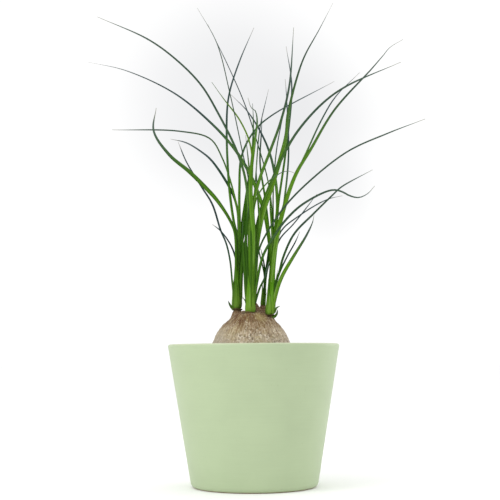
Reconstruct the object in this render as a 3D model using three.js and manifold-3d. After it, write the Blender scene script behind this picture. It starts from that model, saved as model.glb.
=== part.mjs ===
import * as THREE from 'three';
import { mergeVertices } from 'three/addons/utils/BufferGeometryUtils.js';
import Module from 'manifold-3d';

// A young ponytail palm in a tapered glazed pot. Millimetres, +Z up, with the origin at the middle
// of the pot's flat underside. The front of the plant is on the -Y side.

// Pot
const POT_RIM_RADIUS = 65;
const POT_BASE_RADIUS = 47.3;
const POT_HEIGHT = 106.5;
const POT_WALL = 4.5;
const POT_FLOOR = 7;
const POT_CORNER = 4;
const POT_INNER_CORNER = 7;
const POT_SIDES = 48;
const CURVE_PIECES = 4;

// Soil
const SOIL_TOP = 94;
const SOIL_SWELL = 0.8;
const SOIL_RINGS = 4;
const SOIL_WAVE_X = 0.19;
const SOIL_WAVE_Y = 0.23;
const SOIL_WAVE_LONG = 0.11;
const SOIL_WAVE_START = 1;
const SOIL_LEVEL_EDGE = 1;
const SEAT_GAP = 0.3;

// Swollen base of the plant: its outline from the underside to the crown, as [radius, height].
const BULB_CENTRE_X = -1.9;
const BULB_OUTLINE = [
  [0, 52], [10, 53.5], [20, 58.5], [28, 68], [32, 80], [32.6, 90], [31.4, 101],
  [29.2, 108], [26, 115], [20.7, 121.7], [17, 124.8], [14.6, 127], [12, 129.3], [7, 130.8], [0, 131.6],
];
const BULB_RINGS = 18;
const BULB_SIDES = 36;
const BULB_RIPPLE = 0.012;
const BULB_LOBES = 3;
const BULB_LOBE_TURN = 0.7;
const BULB_SMALL_LOBES = 5;
const BULB_SMALL_SHARE = 0.6;
const BULB_LOBE_TWIST = 0.05;
const STUB_FLARE = 1.1;
const STUB_ROOT = 12;
const STUB_SIDES = 12;

// Leaves
const NECK_SIDES = 9;
const NECK_TOP_RADIUS = 1.3;
const BLADE_THICKNESS = 0.75;
const BLADE_TIP_WIDTH = 0.9;
const BLADE_STEP = 9;
const LEAST_STEPS = 4;
const BROAD_BLADE = 3;
const TAPER_BEND = 2.6;
const TAPER_POWER = 1.9;
const LATE_BEND = 5;
const LATE_WAIST = 0.5;
const LATE_START = 0.35;
const LATE_END = 0.6;
const SHEATH_FLARE = 0.5;
const SHEATH_FADE = 12;
const CHANNEL_ANGLE = 24;
const ROLL_START = 0.1;
const ROLL_END = 0.7;
const DEPTH_POWER = 1.7;
const ROOT_SPREAD = 0.35;

// The leaves are laid out as they show from a point in front of the plant: every front point is
// [x, z] on the upright plane through the pot's middle, and its depth moves it along the line of
// sight, away from the viewer where the depth is positive.
const VIEWPOINT = new THREE.Vector3(-5, -854, 96);

// Each head has the front points of its foot, on a stub of the bulb, and of the top of its neck,
// out of which its leaves grow, with its depth and the radius of its foot.
const HEADS = {
  left: { foot: [-12.3, 133.3], top: [-12.1, 176], depth: 1, radius: 3.9 },
  centre: { foot: [-2.4, 130.6], top: [-1.8, 172], depth: -8, radius: 4 },
  right: { foot: [12.6, 128.8], top: [15.6, 164], depth: -4, radius: 3.7 },
  back: { foot: [7.4, 135.6], top: [9.2, 155], depth: 7, radius: 1.9 },
};

// Every leaf lies flat to the front. It has its width, how far its tip lies behind the head, the
// angle that its upper side turns upwards by its tip, and the front points of its line. A late one
// is widest past its middle.
const LEAVES = {
  left: [
    { width: 3.9, depth: -26, roll: 0, late: true,
      front: [[-13.2, 137], [-12.9, 169], [-12.9, 183], [-14, 193], [-17, 201], [-25.5, 216.5],
        [-37, 230.5], [-47.5, 240], [-64, 253], [-76, 271], [-74, 289]] },
    { width: 1.8, depth: 22, roll: 30,
      front: [[-14.5, 137.5], [-16, 154], [-17.5, 170], [-20.5, 183.5], [-24.5, 193], [-31, 213.5],
        [-39.5, 227.5], [-51, 247], [-57, 262]] },
    { width: 1.6, depth: 14, roll: 30,
      front: [[-13.5, 137.5], [-12, 164], [-13.4, 172], [-16.5, 181], [-21.8, 189.5], [-25.8, 194],
        [-31, 198]] },
    { width: 2.4, depth: 46, roll: 20,
      front: [[-11.5, 138], [-11, 190], [-12, 210.5], [-16, 223], [-31, 247], [-39.5, 254.5],
        [-51, 261.5], [-63, 264.5]] },
    { width: 1.7, depth: -6, roll: 35,
      front: [[-12, 138], [-11, 201], [-15, 224], [-23.5, 250], [-32.5, 264.5], [-56, 270.5],
        [-108, 272]] },
    { width: 2.2, depth: 76, roll: 10,
      front: [[-12, 138], [-11.5, 186], [-14.5, 200], [-18, 228.5], [-19.5, 279], [-17.5, 299.5],
        [-9.5, 325], [2, 352]] },
    { width: 2.4, depth: 36, roll: 35,
      front: [[-10.5, 138], [-10, 190], [-10, 224.5], [-8, 251], [1.5, 270], [14, 281.5], [64, 309]] },
    { width: 3.4, depth: 26, roll: 0,
      front: [[-10.5, 138], [-9.8, 169], [-9, 186], [-7.5, 199.5], [-4, 223], [0, 251.5], [1, 280],
        [0.5, 292]] },
    { width: 3, depth: -10, roll: 0,
      front: [[-10, 138], [-8.8, 161.5], [-7.5, 176.5], [-5, 189], [-4, 198], [-3, 206.5]] },
    { width: 3.2, depth: 4, roll: 0,
      front: [[-10, 138], [-10, 163], [-9.5, 178], [-7.5, 189], [-5.5, 199.5], [-3.5, 226]] },
  ],
  centre: [
    { width: 2.2, depth: -46, roll: 30,
      front: [[-3.5, 134], [-3.5, 163], [-3, 190], [-5, 230], [-11.5, 253.5], [-26.5, 285],
        [-39.5, 307], [-57.5, 326], [-80, 343], [-120, 361.5]] },
    { width: 1.4, depth: -74, roll: 30,
      front: [[-2, 135], [-2, 224], [-8, 256], [-17, 300], [-27, 340], [-42, 368]] },
    { width: 2.1, depth: -30, roll: 20,
      front: [[-3, 135], [-1, 217], [-1, 257], [-9, 278], [-22, 296], [-31, 309]] },
    { width: 4.5, depth: -48, roll: 0,
      front: [[-1, 134], [-0.5, 163], [0, 192], [-1.5, 223], [-1, 238.5], [3, 269], [4, 279],
        [2.5, 286.5], [-0.5, 288.5], [-3, 296.5]] },
    { width: 1.6, depth: -12, roll: 0,
      front: [[-2, 135], [-2, 232], [-5, 267]] },
    { width: 2.4, depth: -16, roll: 0,
      front: [[-0.6, 135], [1.2, 163], [3.2, 186], [5, 199.5], [3.5, 226.5], [3, 244]] },
    { width: 2.9, depth: -58, roll: 20,
      front: [[-2, 135], [-1, 205], [5, 231], [14, 255], [22, 277], [29, 305], [33, 352]] },
    { width: 4.8, depth: -34, roll: 50,
      front: [[-0.8, 134], [1.2, 165], [3.2, 186], [8, 207.5], [14, 224.5], [22, 249], [26.5, 267],
        [28, 283], [35.5, 313], [41.5, 329.5], [52.5, 349.5], [64, 371.5]] },
    { width: 2.6, depth: -44, roll: 25,
      front: [[-0.6, 134], [0.3, 178], [2, 190.5], [8, 214], [24.5, 252], [36, 271], [55, 292],
        [73, 305], [116, 324]] },
    { width: 1.5, depth: -52, roll: 20,
      front: [[0, 135], [2.4, 169], [5.5, 180.5], [9.5, 189], [22, 208], [38.5, 226], [73, 253.5],
        [105, 268], [134, 279]] },
    { width: 2.1, depth: -70, roll: 25,
      front: [[0, 135], [2.5, 151], [7.7, 173.5], [17, 189.5], [24.5, 200], [37, 212], [56, 222.5],
        [63, 224], [69, 222.5], [74.5, 219.5], [81.5, 218], [88.5, 221], [94, 227]] },
    { width: 1.4, depth: -24, roll: 0,
      front: [[-1, 135], [0, 200], [4, 220], [16, 234], [27, 239], [33, 237]] },
    { width: 1.7, depth: -4, roll: 0,
      front: [[1, 136], [3, 143], [5, 149], [8.5, 156], [10.5, 163], [12.5, 169]] },
    { width: 2.6, depth: -10, roll: 0,
      front: [[-4.3, 135], [-5.6, 147.5], [-6.2, 159], [-6.9, 168], [-7.6, 180], [-8, 189],
        [-7.5, 200.5]] },
    { width: 3.4, depth: -14, roll: 0,
      front: [[-4.5, 135], [-4.2, 155], [-5, 172], [-5.4, 186], [-3.6, 206], [-2.5, 215]] },
  ],
  right: [
    { width: 3.2, depth: 48, roll: 40,
      front: [[13, 133], [14, 155], [14, 172], [12.5, 186], [9, 206.5], [1, 230], [-5, 242.5],
        [-15, 258], [-31, 276], [-59.5, 300], [-97.5, 318.5], [-127, 325.5]] },
    { width: 3.1, depth: 60, roll: 20,
      front: [[13.6, 133], [14.3, 169], [18, 199.5], [19, 212.5], [16.5, 240], [10.5, 261],
        [-2.5, 284.5], [-16, 299]] },
    { width: 3.9, depth: -12, roll: 50,
      front: [[13.8, 133], [14.2, 151], [17.6, 183], [23.2, 207], [33.5, 236], [45.5, 256], [64, 286.5],
        [93, 318.5], [102.5, 329.5], [107.5, 335.5], [118, 342]] },
    { width: 2.2, depth: 28, roll: 30,
      front: [[13.6, 133], [17, 182], [28, 222], [43.3, 256.5], [54.5, 280], [65, 297], [84, 316]] },
    { width: 1.8, depth: 34, roll: 20,
      front: [[13.6, 133], [16.6, 170], [24, 213], [28, 251], [27, 295], [26, 311]] },
    { width: 1.4, depth: 20, roll: 25,
      front: [[14, 133], [15.6, 165], [20, 185], [31, 197.5], [38, 206], [49.5, 221]] },
    { width: 1.4, depth: 12, roll: 30,
      front: [[13.6, 133], [16, 170], [21.5, 192], [35.5, 204], [57, 216.5], [69, 219.5]] },
    { width: 1.9, depth: -24, roll: 25,
      front: [[14, 133], [16, 149], [20, 161], [23, 172], [31.5, 190], [46.5, 205.5], [62, 220.5],
        [68, 226], [92.5, 239.5]] },
    { width: 1.4, depth: 12, roll: 20,
      front: [[14, 133], [19, 157], [26, 172.5], [32.5, 184], [36, 192]] },
    { width: 3.2, depth: -32, roll: 0,
      front: [[14, 132], [16.3, 141], [19.6, 152], [23.2, 160], [31, 173], [41, 189], [46, 199.5],
        [47, 204.5]] },
    { width: 2.6, depth: 14, roll: 0,
      front: [[13, 133], [13.6, 151], [14.2, 169], [15, 185.5], [13.5, 212.5], [14, 224]] },
  ],
  back: [
    { width: 1.4, depth: 86, roll: 20,
      front: [[8, 139], [9, 158], [14, 176], [15, 205], [12, 231], [4, 261], [-5, 290], [-17, 319],
        [-34, 355]] },
    { width: 1.4, depth: 60, roll: 0,
      front: [[8, 139], [10, 162], [15, 185], [16, 224], [19, 257], [26, 291]] },
    { width: 2, depth: 78, roll: 0,
      front: [[8, 139], [9.8, 160], [12.5, 182], [10, 215], [6, 245], [7, 267], [8, 283]] },
    { width: 1.4, depth: 98, roll: 0,
      front: [[8, 139], [8.6, 158], [4, 180], [1, 205], [3, 240], [6, 272], [13, 303]] },
    { width: 2, depth: 72, roll: 0,
      front: [[8, 139], [10, 160], [16, 182], [20, 215], [27, 262], [31, 305], [27, 337]] },
    { width: 1.8, depth: 20, roll: 0,
      front: [[8, 137], [8.5, 147.5], [9.5, 159], [11.5, 167], [14.5, 176.5]] },
    { width: 1.6, depth: 12, roll: 0,
      front: [[8, 137], [8.8, 147.5], [9, 161], [8, 170], [6, 179]] },
  ],
};

// Short dry leaf ends near the feet of the heads, listed as the leaves are.
const DRY_ENDS = {
  left: [{ width: 1.8, depth: -3, roll: 0, front: [[-13, 134.8], [-16.5, 134.8], [-19.2, 139.4]] }],
  centre: [{ width: 1.2, depth: -3, roll: 0, front: [[-4, 136], [-6, 139], [-8, 142]] }],
  right: [
    { width: 1.5, depth: -3, roll: 0, front: [[14, 132], [17, 134.5], [20.5, 135]] },
    { width: 1.5, depth: -5, roll: 0, front: [[14, 133], [18, 133.5], [19, 131], [16.5, 128.5]] },
  ],
  back: [],
};

// Looks
const GLAZE = { color: 0xbccba3, roughness: 0.42 };
const EARTH = { color: 0x3a2c22, roughness: 0.95 };
const CORK = { color: 0xab9e83, roughness: 0.85 };
const LEAF_ROUGHNESS = 0.5;
const LEAF_COLOURS = { left: 0x5f8636, centre: 0x6d9440, right: 0x5a8033, back: 0x3f6234 };

// Corners closer together than this are one corner of a solid.
const MERGE_DISTANCE = 1e-4;

const wasm = await Module();
wasm.setup();

// A closed geometry as a solid that can be joined and cut.
function toSolid(geometry) {
  const bare = geometry.clone();
  bare.deleteAttribute('normal');
  bare.deleteAttribute('uv');
  const merged = mergeVertices(bare, MERGE_DISTANCE);
  const mesh = new wasm.Mesh({
    numProp: 3,
    vertProperties: new Float32Array(merged.attributes.position.array),
    triVerts: new Uint32Array(merged.index.array),
  });
  return new wasm.Manifold(mesh);
}

// A solid as a geometry again.
function toGeometry(solid) {
  const mesh = solid.getMesh();
  const geometry = new THREE.BufferGeometry();
  geometry.setAttribute('position', new THREE.Float32BufferAttribute(mesh.vertProperties, 3));
  geometry.setIndex(new THREE.Uint32BufferAttribute(mesh.triVerts, 1));
  geometry.computeVertexNormals();
  return geometry;
}

// Several closed geometries as one body. Leaves that cross close together can seal a small pocket
// between them, and the body is solid there.
function joined(geometries) {
  const solids = geometries.map(toSolid);
  const whole = solids.reduce((sum, solid) => sum.add(solid));
  return toGeometry(whole.decompose().find((shell) => shell.volume() > 0));
}

// Moves every vertex of a geometry to where place(point) puts it.
function reshaped(geometry, place) {
  const position = geometry.attributes.position;
  const point = new THREE.Vector3();
  for (let i = 0; i < position.count; i += 1) {
    place(point.fromBufferAttribute(position, i));
    position.setXYZ(i, point.x, point.y, point.z);
  }
  geometry.computeVertexNormals();
  return geometry;
}

// A round body about the Z axis, from a profile of [radius, height] points.
function turned(points, sides) {
  const geometry = new THREE.LatheGeometry(points, sides);
  geometry.rotateX(Math.PI / 2);
  return geometry;
}

// ---- pot -------------------------------------------------------------------------------------

function potRadius(height) {
  return THREE.MathUtils.lerp(POT_BASE_RADIUS, POT_RIM_RADIUS, height / POT_HEIGHT);
}

// The inside of the pot from the given height down to the middle of its floor, drawn in by a gap.
function addInside(outline, top, gap) {
  const floor = POT_FLOOR + gap;
  const corner = POT_INNER_CORNER + gap;
  const inner = (height) => potRadius(height) - POT_WALL - gap;
  outline.lineTo(inner(top), top);
  outline.lineTo(inner(floor + corner), floor + corner);
  outline.quadraticCurveTo(inner(floor), floor, inner(floor) - corner, floor);
  outline.lineTo(0, floor);
}

function makePot() {
  const lip = POT_WALL / 2;
  const rim = POT_RIM_RADIUS;
  const lipFoot = POT_HEIGHT - lip;
  const outline = new THREE.Path();
  outline.moveTo(0, 0);
  outline.lineTo(POT_BASE_RADIUS - POT_CORNER, 0);
  outline.quadraticCurveTo(POT_BASE_RADIUS, 0, potRadius(POT_CORNER), POT_CORNER);
  outline.lineTo(potRadius(lipFoot), lipFoot);
  outline.quadraticCurveTo(rim, POT_HEIGHT, rim - lip, POT_HEIGHT);
  outline.quadraticCurveTo(rim - POT_WALL, POT_HEIGHT, potRadius(lipFoot) - POT_WALL, lipFoot);
  addInside(outline, POT_HEIGHT - 2 * lip, 0);
  return turned(outline.getPoints(CURVE_PIECES), POT_SIDES);
}

// ---- swollen base ----------------------------------------------------------------------------

// The bulb without its stubs, swollen by a gap all over.
function bulbBody(gap) {
  const corners = BULB_OUTLINE.map(([radius, height]) => new THREE.Vector2(radius, height));
  const points = new THREE.SplineCurve(corners).getSpacedPoints(BULB_RINGS);
  points[0].x = 0;
  points[BULB_RINGS].x = 0;
  const middle = (BULB_OUTLINE[0][1] + SOIL_TOP) / 2;
  return reshaped(turned(points, BULB_SIDES), (point) => {
    const angle = Math.atan2(point.y, point.x);
    const lobes = Math.sin(BULB_LOBES * angle + BULB_LOBE_TURN);
    const smallLobes = Math.sin(BULB_SMALL_LOBES * angle + BULB_LOBE_TWIST * point.z);
    const swell = 1 + BULB_RIPPLE * (lobes + BULB_SMALL_SHARE * smallLobes);
    const outwards = new THREE.Vector3(point.x, point.y, point.z - middle).normalize();
    point.multiply(new THREE.Vector3(swell, swell, 1));
    point.addScaledVector(outwards, gap);
    point.x += BULB_CENTRE_X;
  });
}

// An upright plug on the line of a head's foot, reaching down from the seat of the head where its
// height is negative and up from it where it is positive.
function seatPlug(head, height) {
  const foot = headPoint(head.foot, head.depth);
  const radius = head.radius * STUB_FLARE;
  const geometry = new THREE.CylinderGeometry(radius, radius, Math.abs(height), STUB_SIDES);
  geometry.rotateX(Math.PI / 2);
  geometry.translate(foot.x, foot.y, foot.z - SEAT_GAP + height / 2);
  return geometry;
}

// The bulb with a short stub under every head, cut level where the head stands on it.
function makeBulb() {
  const heads = Object.values(HEADS);
  const stubs = heads.map((head) => toSolid(seatPlug(head, -STUB_ROOT)));
  const rooms = heads.map((head) => toSolid(seatPlug(head, STUB_ROOT)));
  const bulb = stubs.reduce((sum, solid) => sum.add(solid), toSolid(bulbBody(0)));
  return toGeometry(rooms.reduce((rest, solid) => rest.subtract(solid), bulb));
}

// ---- soil ------------------------------------------------------------------------------------

// The soil fills the pot's inside and has a hole that the bulb stands in.
function makeSoil() {
  const edge = potRadius(SOIL_TOP) - POT_WALL - SEAT_GAP;
  const outline = new THREE.Path();
  outline.moveTo(0, SOIL_TOP);
  for (let ring = 1; ring <= SOIL_RINGS; ring += 1) {
    outline.lineTo((edge * ring) / SOIL_RINGS, SOIL_TOP);
  }
  addInside(outline, SOIL_TOP, SEAT_GAP);
  const profile = outline.getPoints(CURVE_PIECES).reverse();
  const body = reshaped(turned(profile, POT_SIDES), (point) => {
    const radius = Math.hypot(point.x, point.y);
    const humps = Math.sin(SOIL_WAVE_X * point.x + SOIL_WAVE_START) * Math.cos(SOIL_WAVE_Y * point.y);
    if (point.z === SOIL_TOP && radius < edge - SOIL_LEVEL_EDGE) {
      point.z += SOIL_SWELL * (humps + Math.sin(SOIL_WAVE_LONG * point.y));
    }
  });
  return toGeometry(toSolid(body).subtract(toSolid(bulbBody(SEAT_GAP))));
}

// ---- leaf heads ------------------------------------------------------------------------------

// A front point moved along the line of sight to its depth.
function headPoint([x, z], depth) {
  const onPlane = new THREE.Vector3(x, 0, z);
  const stretch = 1 - depth / VIEWPOINT.y;
  return onPlane.sub(VIEWPOINT).multiplyScalar(stretch).add(VIEWPOINT);
}

// The smooth line of a leaf. Its depth grows with a power of the length that shows.
function leafLine(leaf, head) {
  const flat = leaf.front.map(([x, z]) => new THREE.Vector2(x, z));
  const lengths = flat.map((point, i) => (i === 0 ? 0 : point.distanceTo(flat[i - 1])));
  const whole = lengths.reduce((sum, length) => sum + length, 0);
  const root = head.depth + Math.sign(leaf.depth) * ROOT_SPREAD * head.radius;
  let reached = 0;
  const points = leaf.front.map((front, i) => {
    reached += lengths[i];
    return headPoint(front, root + leaf.depth * (reached / whole) ** DEPTH_POWER);
  });
  return new THREE.CatmullRomCurve3(points, false, 'centripetal');
}

// The side of a leaf where its line runs along the tangent: square to the line of sight, and turned
// by a share of the leaf's roll.
function leafSide(leaf, tangent, along) {
  const facing = new THREE.Vector3(0, Math.sign(leaf.depth), 0);
  const leaning = leaf.front[leaf.front.length - 1][0] - leaf.front[0][0];
  const share = THREE.MathUtils.smoothstep(along, ROLL_START, ROLL_END);
  const turn = -Math.sign(leaf.depth * leaning) * THREE.MathUtils.degToRad(leaf.roll) * share;
  return tangent.clone().cross(facing).normalize().applyAxisAngle(tangent, turn);
}

// A strap leaf: a thin plank bent to its line, widest low down and drawn out to its tip. A broad one
// is folded along its midrib.
function makeLeaf(leaf, head) {
  const line = leafLine(leaf, head);
  const broad = leaf.width >= BROAD_BLADE;
  const steps = Math.max(LEAST_STEPS, Math.round(line.getLength() / BLADE_STEP));
  const fold = broad ? THREE.MathUtils.degToRad(CHANNEL_ANGLE) : 0;
  const plank = new THREE.BoxGeometry(2, 1, 1, broad ? 2 : 1, 1, steps);
  return reshaped(plank, (point) => {
    const along = THREE.MathUtils.clamp(point.z + 0.5, 0, 1);
    const tangent = line.getTangentAt(along);
    const across = leafSide(leaf, tangent, along);
    const upper = tangent.clone().cross(across);
    const taper = (1 - along ** (leaf.late ? LATE_BEND : TAPER_BEND)) ** TAPER_POWER;
    const flare = 1 + SHEATH_FLARE * Math.exp(-SHEATH_FADE * along);
    const opened = THREE.MathUtils.smoothstep(along, LATE_START, LATE_END);
    const waist = leaf.late ? THREE.MathUtils.lerp(LATE_WAIST, 1, opened) : 1;
    const half = (BLADE_TIP_WIDTH + (leaf.width - BLADE_TIP_WIDTH) * taper * flare * waist) / 2;
    const reach = point.x * half;
    const lift = Math.abs(reach) * Math.sin(fold) * (1 - along) + point.y * BLADE_THICKNESS;
    point.copy(line.getPointAt(along));
    point.addScaledVector(across, reach * Math.cos(fold)).addScaledVector(upper, lift);
  });
}

// The short core that the leaves of a head grow out of.
function neck(head) {
  const foot = headPoint(head.foot, head.depth);
  const top = headPoint(head.top, head.depth);
  const height = top.z - foot.z;
  const geometry = new THREE.CylinderGeometry(NECK_TOP_RADIUS, head.radius, height, NECK_SIDES);
  geometry.rotateX(Math.PI / 2);
  return reshaped(geometry, (point) => {
    const share = point.z / height + 0.5;
    point.x += THREE.MathUtils.lerp(foot.x, top.x, share);
    point.y += THREE.MathUtils.lerp(foot.y, top.y, share);
    point.z += (foot.z + top.z) / 2;
  });
}

function makeHead(name) {
  const head = HEADS[name];
  const leaves = [...LEAVES[name], ...DRY_ENDS[name]].map((leaf) => makeLeaf(leaf, head));
  return joined([neck(head), ...leaves]);
}

// ---- the whole plant -------------------------------------------------------------------------

function named(name, geometry, look) {
  const mesh = new THREE.Mesh(geometry, new THREE.MeshStandardMaterial({ ...look, metalness: 0 }));
  mesh.name = name;
  return mesh;
}

const plant = new THREE.Group();
plant.add(named('pot', makePot(), GLAZE));
plant.add(named('potting_soil', makeSoil(), EARTH));
plant.add(named('caudex', makeBulb(), CORK));
for (const [name, color] of Object.entries(LEAF_COLOURS)) {
  plant.add(named(`leaf_head_${name}`, makeHead(name), { color, roughness: LEAF_ROUGHNESS }));
}

export default plant;
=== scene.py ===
import math
from typing import NamedTuple

import bpy
import numpy as np
from mathutils import Matrix, Vector


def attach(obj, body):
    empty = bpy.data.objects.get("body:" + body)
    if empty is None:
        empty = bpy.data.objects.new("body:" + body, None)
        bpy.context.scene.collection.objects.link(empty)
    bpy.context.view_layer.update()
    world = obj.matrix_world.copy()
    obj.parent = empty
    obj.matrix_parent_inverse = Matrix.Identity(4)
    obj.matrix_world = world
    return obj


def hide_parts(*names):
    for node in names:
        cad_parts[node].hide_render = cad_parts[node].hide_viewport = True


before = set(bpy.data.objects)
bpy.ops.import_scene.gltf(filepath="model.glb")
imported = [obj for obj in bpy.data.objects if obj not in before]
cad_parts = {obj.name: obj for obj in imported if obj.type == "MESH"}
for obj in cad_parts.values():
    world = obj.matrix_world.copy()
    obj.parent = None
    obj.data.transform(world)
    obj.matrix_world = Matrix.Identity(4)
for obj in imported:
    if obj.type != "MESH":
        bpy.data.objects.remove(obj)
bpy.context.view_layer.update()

bl_info = {
    "name": "Potted ponytail palm",
    "version": (1, 0, 0),
    "blender": (4, 5, 0),
    "location": "3D View > Sidebar > Palm",
    "description": "Builds a young ponytail palm in a tapered glazed pot around its packed frame",
    "category": "Add Mesh",
}

MM = 0.001

# ---- the plant's layout, in millimetres ----

# Outline of the swollen base from its underside to the crown, as (radius, height).
BASE_OUTLINE = (
    (0, 52), (10, 53.5), (20, 58.5), (28, 68), (32, 80), (32.6, 90), (31.4, 101), (29.2, 108), (26, 115),
    (20.7, 121.7), (17, 124.8), (14.6, 127), (12, 129.3), (7, 130.8), (0, 131.6),
)

# Heights of the middle that its skin faces away from and of the bottom of its hole in the soil.
BULB_MIDDLE, HOLE_BOTTOM = 73, 52.5

# Inner and outer radius of the ring of soil that the crumbs lie on.
CRUMB_RING = (33.6, 55.6)

# The leaves are laid out as they show from a point in front of the plant: every front point is
# (x, z) on the upright plane through the pot's middle, and a depth moves it along the line of sight.
VIEWPOINT = np.array((-5.0, -854.0, 96.0))


class Head(NamedTuple):
    """A head of leaves: foot and top of its core as front points, their depth and the radius of the
    foot; how light the foot's green is, which for the back head is painted shade, and how much painted
    shade darkens the roots of its leaves; how many of its first leaves are widest past their middle; and
    its seat on the crown: the share of the foot's radius that is level and how steeply the crown falls
    away from it."""

    foot: tuple
    top: tuple
    depth: float
    radius: float
    light: float
    shade: float
    late: int
    seat: tuple


HEADS = {
    "left": Head((-12.3, 133.3), (-12.1, 176), 1, 3.9, 0.45, 0.05, 4, (0.65, 3.2)),
    "centre": Head((-2.4, 130.6), (-1.8, 172), -8, 4, 0.95, 0.0, 0, (0.7, 1.1)),
    "right": Head((12.6, 128.8), (15.6, 164), -4, 3.7, 1.05, 0.0, 0, (0.45, 1.9)),
    # The back head stands in shadow: its low light and its root shade are painted shade.
    "back": Head((7.4, 135.6), (9.2, 155), 7, 1.9, -0.1, 0.9, 0, (0.9, 1.6)),
}

# Other rises of the crown: spot, level radius and fall. The first is the brown stump of an old
# growing point behind the centre head.
STUMPS = (((1.9, 2.0, 138.0), 0.6, 1.5), ((-7.5, -2.0, 131.6), 0.8, 1.0))

# Small dark scars on the crown: spot and radius.
SCARS = (((17.8, -4.8, 122.1), 0.7), ((-7.5, -9.4, 129.4), 0.9), ((11.8, -6.2, 127.4), 1.0))

# How far the foot of a core is sunk below its head's foot.
CORE_SINK = 0.6

# Number of sheaths round a core and of dry scales round its foot, and the angle between one and the
# next in radians.
SHEATHS, SCALES, GOLDEN_ANGLE = 7, 11, 2.39996

# Points round the turned pot, the soil, the base and a core.
POT_SIDES, SOIL_SIDES, BASE_SIDES, CORE_SIDES = 192, 200, 280, 24

# Seeds of the random numbers of the scales and of the first head's leaves.
SCALE_SEED, LEAF_SEED = 77, 100

# How far a leaf's root is from the middle of its head, as a share of the foot's radius, and the power
# of the share of its length with which its depth grows.
ROOT_SPREAD, DEPTH_POWER = 0.35, 1.7

# What a leaf looks like: how light its green is and how yellow.
TONES = {
    "fresh": (0.9, 0.4),
    "green": (0.65, 0.25),
    "deep": (0.38, 0.1),
    "dark": (0.12, 0.05),
    # A dark blue-green tone that also paints the shade of backlit leaves.
    "blue_green_and_shade": (0.2, 0.0),
    # Painted shade: the darkest tone, for leaves in the shadow of the others.
    "in_shade": (-0.3, 0.0),
    "olive": (0.75, 0.9),
}

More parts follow.
